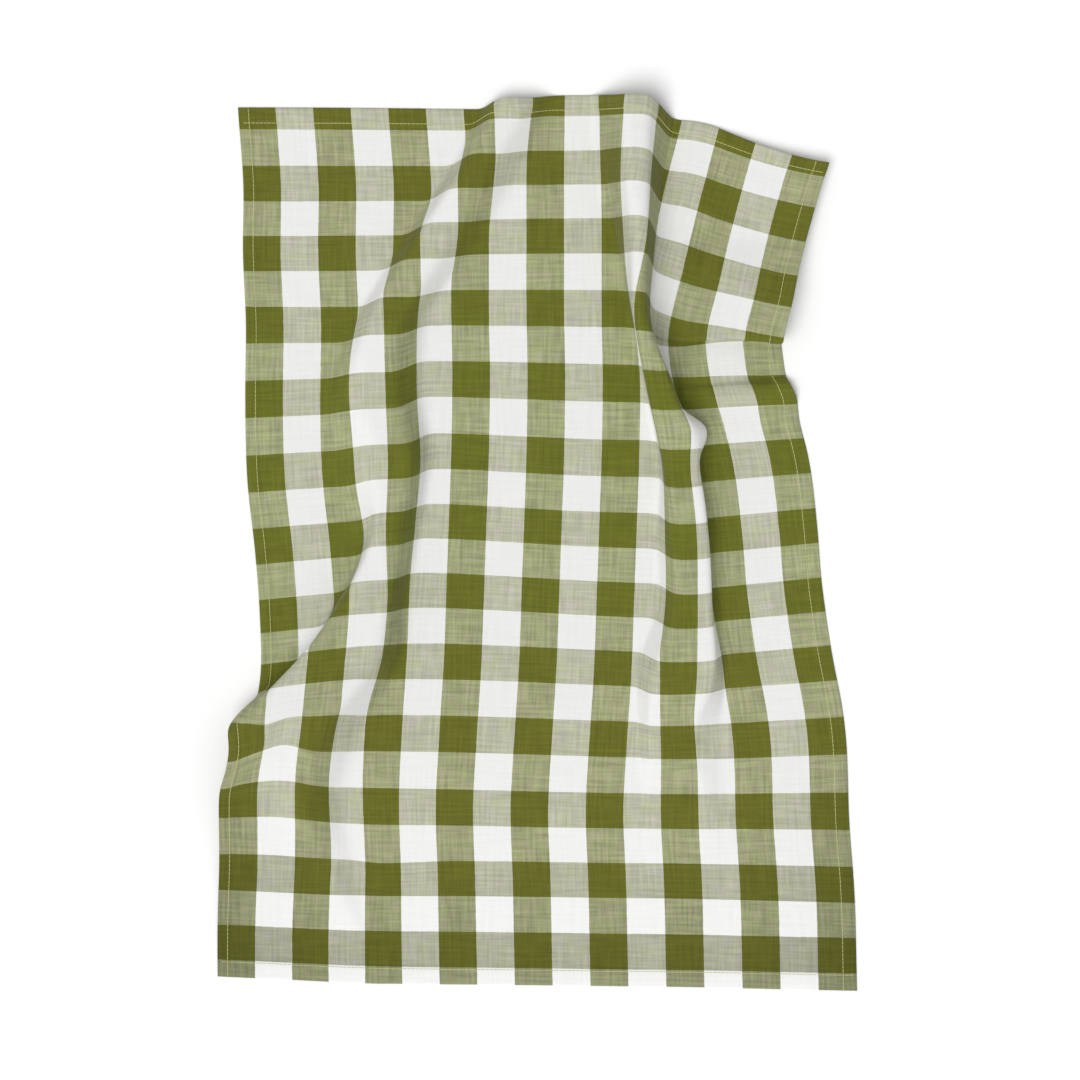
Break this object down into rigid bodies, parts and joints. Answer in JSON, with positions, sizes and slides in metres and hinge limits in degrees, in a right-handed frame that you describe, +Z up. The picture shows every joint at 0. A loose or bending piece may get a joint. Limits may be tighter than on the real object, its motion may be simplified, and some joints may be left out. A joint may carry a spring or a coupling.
{
  "type": "tea towel",
  "caption": "Rectangular woven cotton tea towel in a green and white gingham check, hemmed all round, lying loosely on a table with standing folds.",
  "frame": {"origin": "on the table, under the middle of the towel's box", "axes": "+X across the cloth to its right edge, +Y along the cloth to its far edge, +Z up from the table"},
  "size_m": [0.4968, 0.6956, 0.041],
  "materials": {
    "gingham_cotton": "matt plain-woven cotton in an even olive green and white check"
  },
  "bodies": {
    "root": {"towel": "gingham_cotton"}
  },
  "joints": []
}
